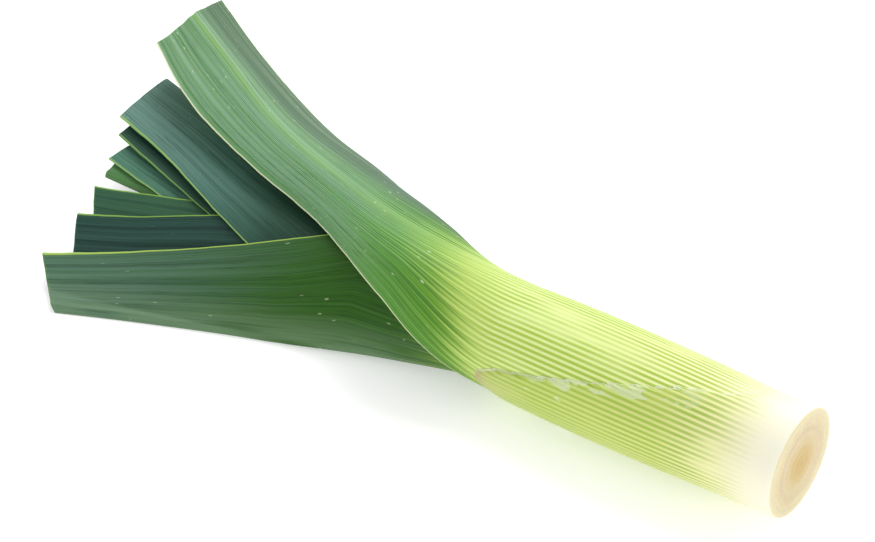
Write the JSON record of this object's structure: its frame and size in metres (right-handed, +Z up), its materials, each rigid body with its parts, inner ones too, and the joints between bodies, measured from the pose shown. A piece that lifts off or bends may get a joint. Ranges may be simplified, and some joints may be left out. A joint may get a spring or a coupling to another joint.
{
  "type": "leek",
  "caption": "Trimmed leek lying on its side: a white shank with a cut base, a torn dry outer sheath, and folded green leaves fanned out flat and cut across.",
  "frame": {"origin": "on the table, under the middle of the leek's bounding box", "axes": "+X along the shank from the leaf tips to the cut base, +Y away from the side the keels of the near leaves point to, +Z up"},
  "size_m": [0.3025, 0.1562, 0.0427],
  "materials": {
    "outer_sheath": "thin dry skin, pale cream to lime with fine parallel veins",
    "stem_plate": "moist cut root plate, golden core with tan rings",
    "leaf_1": "waxy fresh leaf, white sheath turning lime then green",
    "leaf_2": "waxy fresh leaf, glaucous green",
    "leaf_3": "waxy fresh leaf, blue-green",
    "leaf_4": "waxy fresh leaf, dark blue-green",
    "leaf_5": "waxy fresh leaf, dark blue-green",
    "leaf_6": "waxy fresh leaf, mid green",
    "leaf_7": "waxy fresh leaf, pale blue-green",
    "leaf_8": "waxy fresh inner leaf, pale yellow-green"
  },
  "bodies": {
    "root": {"outer_sheath": "outer_sheath", "stem_plate": "stem_plate", "leaf_1": "leaf_1", "leaf_2": "leaf_2", "leaf_3": "leaf_3", "leaf_4": "leaf_4", "leaf_5": "leaf_5", "leaf_6": "leaf_6", "leaf_7": "leaf_7", "leaf_8": "leaf_8"}
  },
  "joints": []
}
